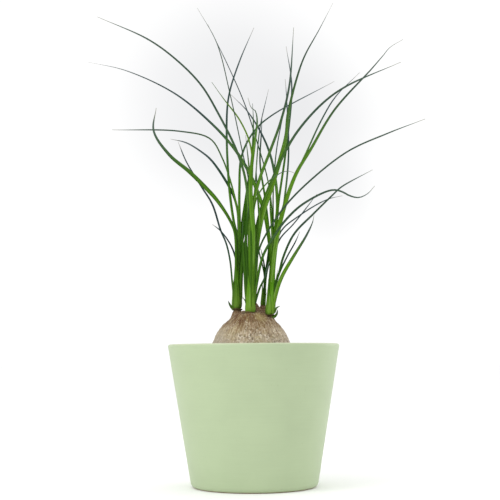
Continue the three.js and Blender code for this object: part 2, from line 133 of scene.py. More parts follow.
# Every leaf has its width, how far its tip lies behind the head, the angle by which its upper side
# turns upwards by its tip, its tone, the share of its length where green gives way to blue-green, and
# its front points.
LEAVES = {
    "left": (
        (3.6, -26, 0, "deep", 0.8, (-13.2, 137), (-12.9, 169), (-12.9, 183), (-14, 193), (-18.4, 203),
         (-28, 217.5), (-38.3, 228.8), (-48.8, 239.2), (-64, 252.3), (-76, 271), (-74, 289)),
        (1.8, 22, 30, "blue_green_and_shade", 0.3, (-14.5, 137.5), (-16, 154), (-17.5, 170), (-20.5, 183.5), (-24.5, 193),
         (-31, 213.5), (-39.5, 227.5), (-51, 247), (-57, 262)),
        (1.6, 14, 30, "blue_green_and_shade", 0.4, (-13.5, 137.5), (-12, 164), (-13.4, 172), (-16.5, 181), (-21.8, 189.5),
         (-25.8, 194), (-31, 198)),
        (2.4, 46, 20, "dark", 0.62, (-11.5, 138), (-11, 190), (-12, 210.5), (-16, 223), (-31, 247),
         (-39.5, 254.5), (-51, 261.5), (-63, 264.5)),
        (1.7, -6, 35, "deep", 0.62, (-12, 138), (-11, 201), (-15, 224), (-23.5, 250), (-32.5, 264.5),
         (-56, 270.5), (-108, 272)),
        (2.2, 76, 10, "deep", 0.55, (-12, 138), (-11.5, 186), (-14.5, 200), (-18, 228.5), (-19.5, 279),
         (-17.5, 299.5), (-9.5, 325), (2, 352)),
        (2.4, 36, 35, "deep", 0.62, (-10.5, 138), (-10, 190), (-10, 224.5), (-8, 251), (1.5, 270),
         (14, 281.5), (64, 309)),
        (3.4, 26, 0, "deep", 1, (-10.5, 138), (-9.8, 169), (-9, 186), (-7.5, 199.5), (-4, 223), (0, 251.5),
         (1, 280), (0.5, 292)),
        (3, -10, 0, "dark", 1, (-10, 138), (-8.8, 161.5), (-7.5, 176.5), (-5, 189), (-4, 198),
         (-3, 206.5)),
        (3.2, 4, 0, "deep", 1, (-10, 138), (-10, 163), (-9.5, 178), (-7.5, 189), (-5.5, 199.5),
         (-3.5, 226)),
    ),
    "centre": (
        (2.2, -46, 30, "green", 0.4, (-3.5, 134), (-3.5, 163), (-3, 190), (-5, 230), (-11.5, 253.5),
         (-26.5, 285), (-39.5, 307), (-57.5, 326), (-80, 343), (-120, 361.5)),
        (1, -74, 30, "blue_green_and_shade", 0.42, (-2, 135), (-2, 224), (-8, 256), (-17, 300), (-27, 340), (-42, 368)),
        (2.1, -30, 20, "olive", 1, (-3, 135), (-1, 217), (-1, 257), (-9, 278), (-22, 296), (-31, 309)),
        (4.5, -48, 0, "green", 0.9, (-1, 134), (-0.5, 163), (0, 192), (-1.5, 223), (-1, 238.5), (3, 269),
         (4, 279), (2.5, 286.5), (-0.5, 288.5), (-3, 296.5)),
        (1.6, -12, 0, "olive", 0.9, (-2, 135), (-2, 232), (-5, 267)),
        (2.4, -16, 0, "deep", 0.9, (-0.6, 135), (1.2, 163), (3.2, 186), (5, 199.5), (3.5, 226.5), (3, 244)),
        (2.9, -58, 20, "green", 0.62, (-2, 135), (-1, 205), (5, 231), (14, 255), (22, 277), (29, 305),
         (33, 352)),
        (4.8, -34, 50, "fresh", 0.66, (-0.8, 134), (1.2, 165), (3.2, 186), (8, 207.5), (14, 224.5),
         (22, 249), (26.5, 267), (28, 283), (35.5, 313), (41.5, 329.5), (52.5, 349.5), (64, 371.5)),
        (2.6, -44, 25, "deep", 0.56, (-0.6, 134), (0.3, 178), (2, 190.5), (8, 214), (24.5, 252), (36, 271),
         (55, 292), (73, 305), (116, 324)),
        (1.5, -52, 20, "blue_green_and_shade", 0.3, (0, 135), (2.4, 169), (5.5, 180.5), (9.5, 189), (22, 208), (38.5, 226),
         (73, 253.5), (105, 268), (134, 279)),
        (2.1, -70, 25, "blue_green_and_shade", 0.4, (0, 135), (2.5, 151), (7.7, 173.5), (17, 189.5), (24.5, 200), (37, 212),
         (56, 222.5), (63, 224), (69, 222.5), (74.5, 219.5), (81.5, 218), (88.5, 221), (94, 227)),
        (1.4, -24, 0, "green", 0.85, (-1, 135), (0, 200), (4, 220), (16, 234), (27, 239), (33, 237)),
        (1.7, -4, 0, "in_shade", 0.6, (1, 136), (3, 143), (5, 149), (8.5, 156), (10.5, 163), (12.5, 169)),
        (2.6, -10, 0, "dark", 1, (-4.3, 135), (-5.6, 147.5), (-6.2, 159), (-6.9, 168), (-7.6, 180),
         (-8, 189), (-7.5, 200.5)),
        (3.4, -14, 0, "dark", 1, (-4.5, 135), (-4.2, 155), (-5, 172), (-5.4, 186), (-3.6, 206),
         (-2.5, 215)),
    ),
    "right": (
        (3.2, 48, 40, "green", 0.5, (13, 133), (14, 155), (14, 172), (12.5, 186), (9, 206.5), (1, 230),
         (-5, 242.5), (-15, 258), (-31, 276), (-59.5, 300), (-97.5, 318.5), (-127, 325.5)),
        (3.1, 60, 20, "green", 0.6, (13.6, 133), (14.3, 169), (18, 199.5), (19, 212.5), (16.5, 240),
         (10.5, 261), (-2.5, 284.5), (-16, 299)),
        (3.9, -12, 50, "fresh", 0.62, (13.8, 133), (14.2, 151), (17.6, 183), (23.2, 207), (33.5, 236),
         (45.5, 256), (64, 286.5), (93, 318.5), (102.5, 329.5), (107.5, 335.5), (118, 342)),
        (2.2, 28, 30, "green", 0.68, (13.6, 133), (17, 182), (28, 222), (43.3, 256.5), (54.5, 280),
         (65, 297), (84, 316)),
        (1.8, 34, 20, "green", 0.55, (13.6, 133), (16.6, 170), (24, 213), (28, 251), (27, 295), (26, 311)),
        (1.5, 20, 25, "blue_green_and_shade", 0.4, (14, 133), (15.6, 165), (20, 185), (31, 197.5), (38, 206), (49.5, 221)),
        (1.5, 12, 30, "deep", 0.4, (13.6, 133), (16, 170), (21.5, 192), (35.5, 204), (57, 216.5),
         (69, 219.5)),
        (1.9, -24, 25, "blue_green_and_shade", 0.35, (14, 133), (16, 149), (20, 161), (23, 172), (31.5, 190), (46.5, 205.5),
         (62, 220.5), (68, 226), (92.5, 239.5)),
        (1.5, 12, 20, "green", 0.5, (14, 133), (19, 157), (26, 172.5), (32.5, 184), (36, 192)),
        (3.2, -32, 0, "fresh", 0.65, (14, 132), (16.3, 141), (19.6, 152), (23.2, 160), (31, 173), (41, 189),
         (46, 199.5), (47, 204.5)),
        (2.6, 14, 0, "green", 1, (13, 133), (13.6, 151), (14.2, 169), (15, 185.5), (13.5, 212.5),
         (14, 224)),
    ),
    "back": (
        (1.1, 86, 20, "deep", 0.5, (8, 139), (9, 158), (14, 176), (15, 205), (12, 231), (4, 261), (-5, 290),
         (-17, 319), (-34, 355)),
        (1.2, 60, 0, "deep", 0.7, (8, 139), (10, 162), (15, 185), (16, 224), (19, 257), (26, 291)),
        (2, 78, 0, "deep", 0.75, (8, 139), (9.8, 160), (12.5, 182), (10, 215), (6, 245), (7, 267), (8, 283)),
        (1.2, 98, 0, "deep", 0.7, (8, 139), (8.6, 158), (4, 180), (1, 205), (3, 240), (6, 272), (13, 303)),
        (2, 72, 0, "deep", 0.7, (8, 139), (10, 160), (16, 182), (20, 215), (27, 262), (31, 305), (27, 337)),
        (1.8, 20, 0, "in_shade", 1.2, (8, 137), (8.5, 147.5), (9.5, 159), (11.5, 167), (14.5, 176.5)),
        (1.6, 12, 0, "in_shade", 1.2, (8, 137), (8.8, 147.5), (9, 161), (8, 170), (6, 179)),
    ),
}

# Short dry leaf ends near the feet of the heads: width, depth and front points.
DRY_ENDS = {
    "left": (
        (2.3, -3, (-13, 132.5), (-15.6, 133.4), (-17.6, 136), (-19.2, 139.4)),
    ),
    "centre": (
        (1.2, -3, (-4, 136), (-6, 139), (-8, 142)),
    ),
    "right": (
        (2, -3, (13, 129.5), (15.9, 130.4), (17.6, 133.6), (20.4, 135.2)),
        (2.3, -5, (12, 127.4), (15, 126.6), (17.6, 128.8), (18.6, 132.6)),
    ),
    "back": (),
}


# ---- sizes and colours that can be changed ----


def scalar(name, default, about, **more):
    """A number property."""
    return bpy.props.FloatProperty(name=name, description=about, default=default, **more)


def length(name, default, about):
    """A length property in metres."""
    return scalar(name, default, about, min=0.0, precision=5, unit="LENGTH", subtype="DISTANCE")


def angle(name, default, about):
    """An angle property in radians."""
    return scalar(name, default, about, unit="ROTATION", subtype="ANGLE")


def amount(name, default, about):
    """A property for a number that isn't below 0."""
    return scalar(name, default, about, min=0.0)


def count(name, default, about):
    """A whole number property."""
    return bpy.props.IntProperty(name=name, description=about, default=default, min=0)


def colour(name, default, about):
    """A linear colour property."""
    return bpy.props.FloatVectorProperty(
        name=name, description=about, default=default, min=0.0, max=1.0, size=3, subtype="COLOR"
    )


class PALM_PG_pot(bpy.types.PropertyGroup):
    rim_radius: length("Rim radius", 0.065, "Outside radius at the rim")
    foot_radius: length("Foot radius", 0.0473, "Outside radius at the foot, before its corner is rounded")
    height: length("Height", 0.1065, "Height of the pot")
    wall: length("Wall", 0.0045, "Thickness of the wall")
    floor: length("Floor", 0.007, "Thickness of the floor")
    corner: length("Corner", 0.004, "Size of the rounded bottom corner")
    inner_corner: length("Inner corner", 0.007, "Size of the rounded corner inside")
    glaze: colour("Glaze", (0.415, 0.505, 0.312), "Colour of the satin glaze")
    clay: colour("Clay", (0.36, 0.24, 0.15), "Colour of the bare clay under the foot")


class PALM_PG_soil(bpy.types.PropertyGroup):
    level: length("Level", 0.094, "Height of the soil's surface")
    gap: length("Gap", 0.0003, "Gap between the soil and the pot")
    lumps: length("Lumps", 0.0013, "Height of the lumps in the surface")
    crumbs: count("Crumbs", 900, "Number of loose crumbs on the surface")
    seed: count("Seed", 5, "Seed of the crumbs")
    earth: colour("Earth", (0.03, 0.018, 0.011), "Colour of the damp mix")
    fibre: colour("Fibre", (0.17, 0.095, 0.05), "Colour of its bark bits and fibres")


class PALM_PG_base(bpy.types.PropertyGroup):
    centre_x: scalar("Middle", -0.0019, "Where its middle is along X", unit="LENGTH", subtype="DISTANCE")
    ripple: amount("Ripple", 0.012, "How far its outline waves, as a share of its radius")
    furrows: length("Furrows", 0.00035, "Depth of the furrows that run down from the crown")
    grain: length("Grain", 0.00028, "Depth of the corky grain")
    cork: colour("Cork", (0.47, 0.375, 0.25), "Main colour of the corky skin")
    ash: colour("Ash", (0.76, 0.68, 0.54), "Colour of its pale flakes")
    umber: colour("Umber", (0.17, 0.085, 0.045), "Colour of the old scars at the crown")


class PALM_PG_leaves(bpy.types.PropertyGroup):
    thickness: length("Thickness", 0.00055, "Thickness of a leaf at its midrib")
    spacing: length("Spacing", 0.003, "Distance between the sections along a leaf")
    channel: angle("Channel", math.radians(38), "How far each margin of a leaf turns up at its root")
    fresh: colour("Fresh green", (0.088, 0.275, 0.006), "Green of a light leaf")
    deep: colour("Deep green", (0.007, 0.062, 0.001), "Green of a dark leaf")
    # The outer part's blue-green is also darkened as painted shade of backlit leaves.
    blue_green_and_shade: colour("Blue-green", (0.021, 0.041, 0.045), "Colour of the outer part of a leaf")
    olive: colour("Olive", (0.15, 0.22, 0.014), "Colour of an ageing leaf")
    straw: colour("Straw", (0.5, 0.46, 0.4), "Colour of a dry tip")


class PALM_PG_stage(bpy.types.PropertyGroup):
    lens: scalar("Lens", 80.77, "Focal length", unit="CAMERA")
    standpoint: bpy.props.FloatVectorProperty(
        name="Standpoint", description="Where the camera stands", default=(-0.00505, -0.8536, 0.09605),
        size=3, subtype="TRANSLATION", unit="LENGTH",
    )
    pitch: angle("Pitch", 0.0958, "How far the camera looks up")
    yaw: angle("Yaw", -0.0033, "How far the camera turns to its left")
    roll: angle("Roll", -0.0069, "How far the camera leans")
    sky: amount("Sky", 1.02, "Brightness of the white surroundings")
    key: amount("Key light", 8.5, "Power of the large soft light at the upper left")
    rim: amount("Rim light", 4.0, "Power of the soft light behind on the right")


# ---- numbers ----


def smooth(low, high, value):
    """0 up to low, 1 from high on, and an even S-curve 3t^2 - 2t^3 between them."""
    t = np.clip((value - low) / (high - low), 0, 1)
    return t * t * (3 - 2 * t)


def unit(vectors):
    """Each vector divided by its own length."""
    return vectors / np.maximum(np.linalg.norm(vectors, axis=-1, keepdims=True), 1e-12)


def lattice(cells, seed):
    """A repeatable random number from 0 to 1 for every whole-numbered cell."""
    mixed = (cells * np.array((73856093, 19349663, 83492791), dtype=np.int64)).sum(-1) + seed * 2654435
    for shift, factor in ((13, 1274126177), (15, 2246822519)):
        mixed = (mixed ^ (mixed >> shift)) * factor & 0x7FFFFFFF
    return mixed / 0x7FFFFFFF


def cloud(points, size, octaves, seed):
    """Soft noise about -1 to 1: random numbers on a lattice of the given size, blended between its
    corners by 3t^2 - 2t^3, with every next octave half as large and half as strong."""
    total = np.zeros(points.shape[:-1])
    for octave in range(octaves):
        scaled = points / size * 2**octave
        cell = np.floor(scaled).astype(np.int64)
        share = smooth(0, 1, scaled - cell)
        for corner in np.ndindex(2, 2, 2):
            corner = np.array(corner)
            weight = np.where(corner == 1, share, 1 - share).prod(-1)
            total += 0.5**octave * weight * (2 * lattice(cell + corner, seed + octave) - 1)
    return total


def smooth_line(points, stations):
    """The centripetal Catmull-Rom curve through the points, read at shares of its own length, and
    that length."""
    points = np.asarray(points, dtype=float)
    ends = 2 * points[:1] - points[1:2], 2 * points[-1:] - points[-2:-1]
    whole = np.concatenate((ends[0], points, ends[1]))
    a, b, c, d = whole[:-3], whole[1:-2], whole[2:-1], whole[3:]
    steps = np.linalg.norm(np.diff(whole, axis=0), axis=1)[:, None] ** 0.5
    ab, bc, cd = steps[:-2], steps[1:-1], steps[2:]
    leave = ((b - a) / ab - (c - a) / (ab + bc) + (c - b) / bc) * bc
    reach = ((c - b) / bc - (d - b) / (bc + cd) + (d - c) / cd) * bc
    t = np.linspace(0, 1, 33)[None, :, None]
    b, c, leave, reach = (part[:, None, :] for part in (b, c, leave, reach))
    square, cube = 3 * c - 3 * b - 2 * leave - reach, 2 * b - 2 * c + leave + reach
    curve = b + leave * t + square * t**2 + cube * t**3
    curve = np.concatenate((curve[:, :-1].reshape(-1, points.shape[1]), curve[-1, -1:]))
    reached = np.concatenate(((0,), np.cumsum(np.linalg.norm(np.diff(curve, axis=0), axis=1))))
    wanted = np.asarray(stations) * reached[-1]
    return np.stack([np.interp(wanted, reached, axis) for axis in curve.T], axis=1), reached[-1]


def round_corner(start, corner, end, pieces):
    """Points of the curve (1-t)^2 start + 2t(1-t) corner + t^2 end."""
    t = np.linspace(0, 1, pieces + 1)[:, None]
    return (1 - t) ** 2 * np.array(start) + 2 * t * (1 - t) * np.array(corner) + t**2 * np.array(end)


def straight(start, end, pieces):
    """Evenly spaced points from start to end."""
    return np.linspace(start, end, pieces + 1)


# ---- closed surfaces ----


def put(name, data):
    """Puts a new object with its data into the scene."""
    thing = bpy.data.objects.new(name, data)
    bpy.context.scene.collection.objects.link(thing)
    return thing


class Shell:
    """Closed surfaces gathered into one piece. Each is a grid of points whose rows are closed rings,
    with a single point, the pole, closing either end, and its marks hold one value for each point."""

    def __init__(self):
        self.points, self.faces, self.marks = [], [], {}
        self.total = 0

    def add(self, points, faces, marks):
        """Adds a closed surface in millimetres. It is turned right side out by the sign of its volume."""
        corners = points[faces]
        volume = np.einsum("ij,ij->i", corners[:, 0], np.cross(corners[:, 1], corners[:, 2])).sum()
        if not np.isfinite(volume) or volume == 0:
            raise RuntimeError("a surface of this piece encloses nothing")
        self.faces.append((faces if volume > 0 else faces[:, ::-1]) + self.total)
        self.points.append(points)
        for name, values in marks.items():
            self.marks.setdefault(name, []).append(values)
        self.total += len(points)

    def add_rings(self, rings, poles, **marks):
        """Adds a grid of rings and its two poles. Every mark is a few values that are each spread over
        the whole grid, and a pole takes the mean of its ring's marks."""
        rows, columns = rings.shape[:2]
        near = np.arange(columns)
        far = np.roll(near, -1)
        row = np.arange(rows - 1)[:, None] * columns
        one = np.stack((row + near, row + far, row + far + columns), axis=-1)
        two = np.stack((row + near, row + far + columns, row + near + columns), axis=-1)
        first, last = rows * columns, rows * columns + 1
        top = (rows - 1) * columns
        start = np.stack((far, near, np.full(columns, first)), axis=-1)
        finish = np.stack((top + near, top + far, np.full(columns, last)), axis=-1)
        faces = np.concatenate([part.reshape(-1, 3) for part in (one, two, start, finish)])
        points = np.concatenate((rings.reshape(-1, 3), np.asarray(poles)))
        for name, values in marks.items():
            grid = np.stack([np.broadcast_to(value, (rows, columns)) for value in values], axis=-1)
            ends = np.stack((grid[0].mean(0), grid[-1].mean(0)))
            marks[name] = np.concatenate((grid.reshape(-1, len(values)), ends))
        self.add(points, faces, marks)

    def make(self, name, slot, material, *replaced):
        """Puts the gathered surfaces into one smooth mesh object that rides on the root body."""
        points = np.concatenate(self.points) * MM
        faces = np.concatenate(self.faces).astype(np.int32)
        mesh = bpy.data.meshes.new(name)
        mesh.vertices.add(len(points))
        mesh.vertices.foreach_set("co", points.astype(np.float32).ravel())
        mesh.loops.add(faces.size)
        mesh.loops.foreach_set("vertex_index", faces.ravel())
        mesh.polygons.add(len(faces))
        mesh.polygons.foreach_set("loop_start", np.arange(0, faces.size, 3, dtype=np.int32))
        mesh.polygons.foreach_set("use_smooth", np.ones(len(faces), dtype=bool))
        for mark, values in self.marks.items():
            values = np.concatenate(values).astype(np.float32)
            if mark == "spread":
                layer = mesh.uv_layers.new(name=mark)
                layer.uv.foreach_set("vector", values[faces.ravel()].ravel())
            else:
                kind, form = {3: ("FLOAT_VECTOR", "vector"), 4: ("FLOAT_COLOR", "color")}[values.shape[1]]
                mesh.attributes.new(mark, kind, "POINT").data.foreach_set(form, values.ravel())
        mesh.update(calc_edges=True)
        mesh.validate()
        mesh.materials.append(material)
        piece = put(name, mesh)
        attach(piece, "root")
        if replaced:
            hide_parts(*replaced)


def turned(profile, sides, centres=None):
    """A profile of (radius, height) carried round the Z axis: (r cos a, r sin a, z) about centres."""
    angles = np.linspace(0, 2 * np.pi, sides, endpoint=False)
    radius, height = profile[:, :1], profile[:, 1:]
    x = radius * np.cos(angles)
    if centres is not None:
        x = x + centres[:, None]
    return np.stack((x, radius * np.sin(angles), np.broadcast_to(height, x.shape)), axis=-1)


# ---- materials ----


def sum_of(operation, last=False):
    """A method that works out a sum of a wire and other values, with the wire first or last."""

    def method(self, *others):
        values = (*others, self) if last else (self, *others)
        return self.finish.node("ShaderNodeMath", {"operation": operation}, dict(enumerate(values)))

    return method


class Wire:
    """The output of a node, which can stand in ordinary sums."""

    def __init__(self, finish, socket):
        self.finish, self.socket = finish, socket

    __add__ = __radd__ = sum_of("ADD")
    __mul__ = __rmul__ = sum_of("MULTIPLY")
    __sub__, __rsub__ = sum_of("SUBTRACT"), sum_of("SUBTRACT", True)
    __truediv__, __pow__ = sum_of("DIVIDE"), sum_of("POWER")
    __abs__, cosine = sum_of("ABSOLUTE"), sum_of("COSINE")


class Finish:
    """A set of nodes on a material or a world, added one call at a time."""

    def __init__(self, name, owner=None):
        self.material = owner or bpy.data.materials.new(name)
        self.material.use_nodes = True
        self.tree = self.material.node_tree
        self.tree.nodes.clear()

    def node(self, kind, settings=None, inputs=None, output=0):
        """Adds a node of a type with its settings, then the values or links of its sockets. Gives one
        of its outputs, if it has any."""
        made = self.tree.nodes.new(kind)
        for key, value in (settings or {}).items():
            setattr(made, key, value)
        for key, value in (inputs or {}).items():
            if isinstance(value, Wire):
                self.tree.links.new(value.socket, made.inputs[key])
            else:
                made.inputs[key].default_value = value
        return Wire(self, made.outputs[output]) if made.outputs else None

    def place(self):
        """Where a point is on the object, in millimetres."""
        return self.stretch(self.node("ShaderNodeTexCoord", output="Object"), (1 / MM, 1 / MM, 1 / MM))

    def stretch(self, vector, factors):
        """A vector with each axis multiplied by its factor."""
        return self.node("ShaderNodeVectorMath", {"operation": "MULTIPLY"}, {0: vector, 1: factors})

    def shaded(self, tint, factor):
        """A colour made lighter or darker by a factor."""
        return self.node("ShaderNodeVectorMath", {"operation": "SCALE"}, {0: tint, "Scale": factor})

    def parts(self, vector):
        """The three numbers of a vector."""
        split = self.node("ShaderNodeSeparateXYZ", None, {0: vector}).socket.node
        return [Wire(self, output) for output in split.outputs]

    def vector(self, *numbers):
        """A vector of three numbers."""
        return self.node("ShaderNodeCombineXYZ", None, dict(enumerate(numbers)))

    def mark(self, name, output="Vector"):
        """A value that the mesh carries by name."""
        return self.node("ShaderNodeAttribute", {"attribute_name": name}, None, output)

    def noise(self, place, scale, detail=2.0, roughness=0.5, distortion=0.0):
        """Soft noise from 0 to 1 with a number of cells to the millimetre."""
        values = {"Vector": place, "Scale": scale, "Detail": detail, "Roughness": roughness}
        return self.node("ShaderNodeTexNoise", None, {**values, "Distortion": distortion})

    def cells(self, place, scale):
        """Distance from the middle of the nearest of many scattered cells."""
        return self.node("ShaderNodeTexVoronoi", None, {"Vector": place, "Scale": scale}, "Distance")

    def between(self, value, low, high):
        """0 where the value is at low, 1 where it is at high, and an S-curve between them."""
        ends = {"Value": value, "From Min": low, "From Max": high}
        return self.node("ShaderNodeMapRange", {"interpolation_type": "SMOOTHSTEP"}, ends)

    def near(self, place, spot, radius, blur):
        """1 within a radius of a spot, fading to 0 over the blur."""
        away = self.node("ShaderNodeVectorMath", {"operation": "DISTANCE"}, {0: place, 1: spot}, "Value")
        return 1 - self.between(away, radius, radius + blur)

    def mix(self, share, first, second):
        """The first colour where the share is 0 and the second where it is 1."""
        first, second = (c if isinstance(c, Wire) else (*c, 1.0) for c in (first, second))
        return self.node("ShaderNodeMix", {"data_type": "RGBA"}, {0: share, 6: first, 7: second}, 2)

    def coats(self, tint, *coats):
        """Lays coats over a colour, one after the other. A coat is a mask, its share and its colour; a
        pattern in place of the mask is followed by the values at which its coat starts and is full."""
        for mask, share, coat, *edges in coats:
            if edges:
                mask = self.between(mask, *edges)
            tint = self.mix(mask * share, tint, coat)
        return tint

    def surface(self, tint, roughness, height, depth, shine):
        """Ends the material: its colour, its roughness, a relief with its depth in millimetres and how
        strongly it mirrors. Gives the finished material."""
        bump = self.node("ShaderNodeBump", None, {"Height": height, "Distance": depth * MM})
        sockets = {"Base Color": tint, "Roughness": roughness, "Normal": bump, "Specular IOR Level": shine}
        shader = self.node("ShaderNodeBsdfPrincipled", None, sockets)
        self.node("ShaderNodeOutputMaterial", None, {"Surface": shader})
        return self.material


# ---- pot ----


def outer_radius(pot, height):
    """Outside radius of the slanted wall at a height, in millimetres."""
    rim, foot, tall = pot.rim_radius / MM, pot.foot_radius / MM, pot.height / MM
    return foot + (rim - foot) * height / tall


def pot_inside(pot, top, gap):
    """The inside of the pot as (radius, height) in millimetres from a height down to its middle,
    drawn in by a gap: a straight slanted wall, a rounded corner and a level floor."""
    wall, corner = pot.wall / MM, pot.inner_corner / MM
    floor, bend = pot.floor / MM + gap, corner + gap

    def inner(height):
        return outer_radius(pot, height) - wall - gap

    low = (inner(floor + bend), floor + bend)
    level = (inner(floor) - bend, floor)
    wall_points = straight((inner(top), top), low, 40)
    corner_points = round_corner(low, (inner(floor), floor), level, 6)[1:]
    return np.concatenate((wall_points, corner_points, straight(level, (1.0, floor), 8)[1:]))


def pot_profile(pot):
    """The pot's whole profile in millimetres: underside, rounded corner, slanted wall, round lip and
    inside."""
    rim, foot, tall = pot.rim_radius / MM, pot.foot_radius / MM, pot.height / MM
    wall, corner = pot.wall / MM, pot.corner / MM
    lip = wall / 2
    wall_foot = (outer_radius(pot, corner), corner)
    wall_head = (outer_radius(pot, tall - lip), tall - lip)
    lip_head = (rim - lip, tall)
    inner_head = (wall_head[0] - wall, tall - lip)
    parts = (
        straight((1.0, 0), (foot - corner, 0), 12),
        round_corner((foot - corner, 0), (foot, 0), wall_foot, 10)[1:],
        straight(wall_foot, wall_head, 90)[1:],
        round_corner(wall_head, (rim, tall), lip_head, 8)[1:],
        round_corner(lip_head, (rim - wall, tall), inner_head, 8)[1:],
        pot_inside(pot, tall - 2 * lip, 0),
    )
    return np.concatenate(parts)


def throwing_marks(rings):
    """Moves the wall's points in and out by soft level waves, 0.05 mm high and about 4 mm apart, and
    by a wide unevenness of 0.12 mm, both fading out at the foot."""
    low = cloud(rings * (0.02, 0.02, 1), 4.0, 2, 3) * 0.05
    wide = cloud(rings, 40.0, 1, 8) * 0.12
    outwards = unit(rings * (1, 1, 0))
    return rings + outwards * ((low + wide) * smooth(2, 12, rings[..., 2]))[..., None]


def satin_glaze(pot):
    """Pale green satin glaze: faint level brush lines, soft clouds, pinholes, a paler lip (thinner glaze
    and a painted highlight), bare clay under the foot, and a stained line inside at the soil."""
    finish = Finish("satin_glaze")
    place = finish.place()
    x, y, z = finish.parts(place)
    tall = pot.height / MM
    slant = (pot.rim_radius - pot.foot_radius) / pot.height
    inner_foot = (pot.foot_radius - pot.wall) / MM
    lines = finish.noise(finish.stretch(place, (0.03, 0.03, 1)), 1.4, 3.0)
    clouds = finish.noise(place, 0.035, 3.0)
    grain = finish.noise(place, 1.6, 2.0)
    pinholes = 1 - finish.between(finish.cells(place, 0.16), 0.04, 0.1)
    from_foot = (x * x + y * y) ** 0.5 - z * slant
    inside = 1 - finish.between(from_foot, inner_foot + 0.6, inner_foot + 1.6)
    stain = inside * (1 - finish.between(z + 3 * (clouds - 0.5) + grain, 94, 98))
    bare = 1 - finish.between(z + 0.5 * (grain - 0.5), 0.45, 0.9)
    tint = finish.mix(clouds, [v * 0.94 for v in pot.glaze], [min(1, v * 1.06) for v in pot.glaze])
    tint = finish.coats(
        finish.shaded(tint, 0.97 + 0.06 * lines),
        # Paler band at the lip: thinner glaze and a painted highlight along the rim.
        (z + 0.6 * (clouds - 0.5), 0.45, (0.66, 0.68, 0.48), tall - 1.3, tall - 0.2),
        (pinholes, 0.12, (0.25, 0.28, 0.16)),
        (stain, 0.55, (0.2, 0.17, 0.09)),
        (bare, 1, finish.mix(grain, pot.clay, (0.5, 0.38, 0.26))),
    )
    rough = 0.4 + 0.1 * lines + 0.4 * bare
    return finish.surface(tint, rough, 0.5 * lines + 0.3 * grain - 0.8 * pinholes, 0.05, 0.4)


class PALM_OT_pot(bpy.types.Operator):
    """Turns the glazed pot"""

    bl_idname = "palm.pot"
    bl_label = "Glazed pot"

    def execute(self, context):
        pot = context.scene.palm_pot
        shell = Shell()
        rings = throwing_marks(turned(pot_profile(pot), POT_SIDES))
        shell.add_rings(rings, ((0, 0, 0), (0, 0, pot.floor / MM)))
        shell.make("glazed_pot", "glaze", satin_glaze(pot), "pot")
        return {"FINISHED"}


# ---- soil ----


def base_radius(height):
    """Radius of the swollen base at a height, read off its outline up to its widest part and on."""
    outline = np.array(BASE_OUTLINE)
    return np.interp(height, outline[:, 1], outline[:, 0])


def soil_height(points, soil):
    """Height of the soil's surface: its level, a slow swell and lumps of noise."""
    lumps = soil.lumps / MM
    swell = 0.5 * lumps * cloud(points, 22.0, 1, 21)
    return soil.level / MM + swell + lumps * 0.75 * cloud(points, 4.5, 3, 22)


def soil_bed(soil, pot, middle):
    """The soil as one turned body with a hole for the base: up the hole's wall, out over the lumpy
    surface, down the pot's inside and in over its floor."""
    gap, level = soil.gap / MM, soil.level / MM
    heights = np.linspace(HOLE_BOTTOM - gap, level, 24)
    hole = np.stack((base_radius(heights) + gap, heights), axis=1)
    inside = pot_inside(pot, level, gap)
    edge = inside[0, 0]
    top = straight((hole[-1, 0], level), (edge, level), 46)[1:]
    off = (np.full(len(hole), middle), np.linspace(middle, 0, len(top)), np.zeros(len(inside) - 1))
    rings = turned(np.concatenate((hole, top, inside[1:])), SOIL_SIDES, np.concatenate(off))
    surface = slice(len(hole) - 1, len(hole) + len(top))
    flat = rings[surface] * (1, 1, 0)
    rise = soil_height(flat, soil) - level
    rings[surface, :, 2] += rise * smooth(edge, edge - 2, np.linalg.norm(flat, axis=-1))
    return rings, ((middle, 0, heights[0] - 0.2), (0, 0, inside[-1, 1]))


def crumbs(soil, middle):
    """Loose crumbs: an icosahedron each, pulled long, flattened and dented by seeded random numbers,
    and scattered over the surface between the base and the pot. Gives points, faces and tints."""
    draw = np.random.default_rng(soil.seed)
    golden = (1 + 5**0.5) / 2
    signs = np.array([(0, a, b * golden) for a in (-1, 1) for b in (-1, 1)])
    ball = unit(np.concatenate([np.roll(signs, k, axis=1) for k in range(3)]))
    gaps = np.linalg.norm(ball[:, None] - ball[None], axis=-1)
    near = np.isclose(gaps, gaps[gaps > 0].min())
    i, j, k = np.nonzero(near[:, :, None] & near[None] & near[:, None, :])
    faces = np.stack((i, j, k), axis=1)[(i < j) & (j < k)]
    a, b, c = (ball[faces[:, corner]] for corner in range(3))
    back = (np.cross(b - a, c - a) * a).sum(1) < 0
    faces[back] = faces[back][:, ::-1]
    number, corners = soil.crumbs, len(ball)
    size = 0.35 + 1.5 * draw.random(number) ** 2.6
    form = size[:, None] * (0.55 + 0.75 * draw.random((number, 3)))
    turn = draw.random(number)[:, None] * 2 * np.pi
    body = ball[None] * form[:, None] * (1 + 0.3 * (draw.random((number, corners, 1)) - 0.5))
    x, y, z = np.moveaxis(body, -1, 0)
    cos, sin = np.cos(turn), np.sin(turn)
    body = np.stack((x * cos - y * sin, x * sin + y * cos, z), axis=-1)
    angles = draw.random(number) * 2 * np.pi
    low, high = CRUMB_RING
    radius = np.sqrt(low**2 + (high**2 - low**2) * draw.random(number))
    share = (high - radius) / (high - low)
    x, y = radius * np.cos(angles) + middle * share, radius * np.sin(angles)
    spots = np.stack((x, y, radius * 0), axis=-1)
    spots[:, 2] = soil_height(spots, soil) + 0.3 * form[:, 2]
    points = (body + spots[:, None]).reshape(-1, 3)
    faces = (faces[None] + corners * np.arange(number)[:, None, None]).reshape(-1, 3)
    return points, faces, np.repeat(draw.random((number, 3)), corners, axis=0)


